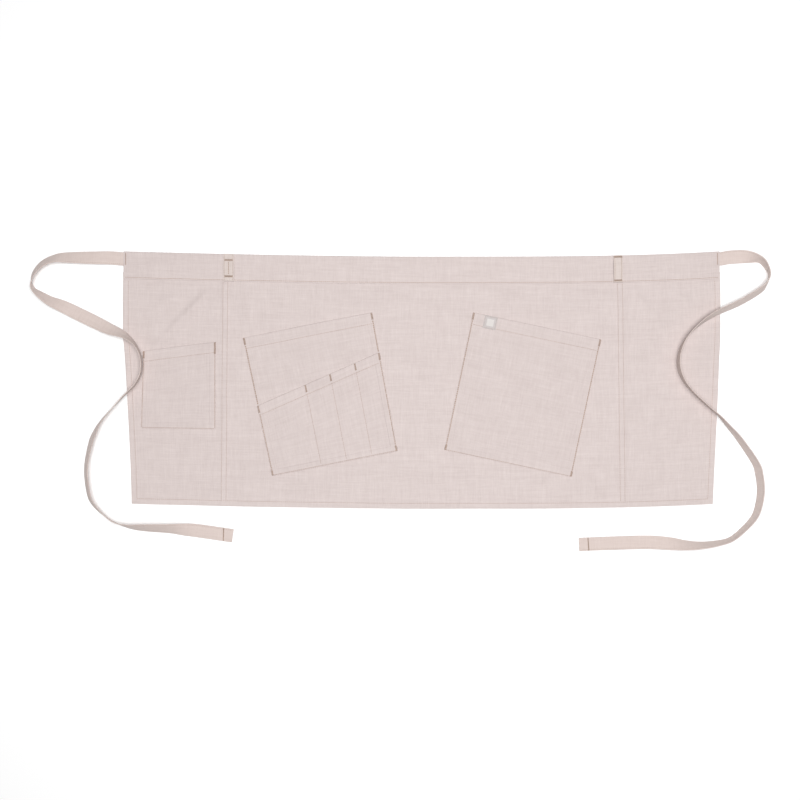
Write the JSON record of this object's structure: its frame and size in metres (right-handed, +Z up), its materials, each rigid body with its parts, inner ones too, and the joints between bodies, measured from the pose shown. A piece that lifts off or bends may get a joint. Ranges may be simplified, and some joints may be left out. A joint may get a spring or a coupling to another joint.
{
  "type": "waist apron",
  "caption": "Waist apron of plain linen laid out flat, with long tie straps, belt loops, a slanted hand pocket, a slanted tool pocket with pen slots, and a phone pocket.",
  "frame": {"origin": "on the surface the apron lies on, under the middle of the apron's own box without the ties", "axes": "+X along the waistband to the wearer's left as the apron lies face up, +Y towards the waistband, +Z up out of the face"},
  "size_m": [1.1067, 0.4507, 0.0231],
  "materials": {
    "linen": "matte woven",
    "tie_tape": "matte woven",
    "stiffener": "matte felted",
    "top_thread": "slightly shiny thread",
    "tack_thread": "slightly shiny thread",
    "woven_label": "matte close weave"
  },
  "bodies": {
    "root": {"centre_panel": "linen", "hand_pocket": "linen", "hand_pocket_foot_left_bar": "tack_thread", "hand_pocket_foot_right_bar": "tack_thread", "hand_pocket_hem_stitch": "top_thread", "hand_pocket_stitch": "top_thread", "hand_pocket_top_left_bar": "tack_thread", "hand_pocket_top_right_bar": "tack_thread", "hem_stitch": "top_thread", "left_belt_loop": "linen", "left_belt_loop_bottom_bar": "tack_thread", "left_belt_loop_top_bar": "tack_thread", "left_panel": "linen", "left_seam_stitch_1": "top_thread", "left_seam_stitch_2": "top_thread", "left_tie": "tie_tape", "left_tie_bar": "tack_thread", "left_tie_end_stitch": "tack_thread", "pen_slot_layer": "linen", "phone_pocket": "linen", "phone_pocket_hem_stitch": "top_thread", "phone_pocket_stitch": "top_thread", "phone_pocket_top_left_bar": "tack_thread", "phone_pocket_top_right_bar": "tack_thread", "right_belt_loop": "linen", "right_belt_loop_bottom_bar": "tack_thread", "right_belt_loop_top_bar": "tack_thread", "right_panel": "linen", "right_seam_stitch_1": "top_thread", "right_seam_stitch_2": "top_thread", "right_tie": "tie_tape", "right_tie_bar": "tack_thread", "right_tie_end_stitch": "tack_thread", "slot_1_bar": "tack_thread", "slot_1_stitch": "top_thread", "slot_2_bar": "tack_thread", "slot_2_stitch": "top_thread", "slot_3_bar": "tack_thread", "slot_3_stitch": "top_thread", "slot_layer_hem_stitch": "top_thread", "slot_layer_left_bar": "tack_thread", "slot_layer_right_bar": "tack_thread", "tool_pocket": "linen", "tool_pocket_foot_left_bar": "tack_thread", "tool_pocket_foot_right_bar": "tack_thread", "tool_pocket_hem_stitch": "top_thread", "tool_pocket_stitch": "top_thread", "tool_pocket_top_left_bar": "tack_thread", "tool_pocket_top_right_bar": "tack_thread", "waistband": "linen", "waistband_interlining": "stiffener", "waistband_stitch": "top_thread", "woven_label": "woven_label"}
  },
  "joints": []
}
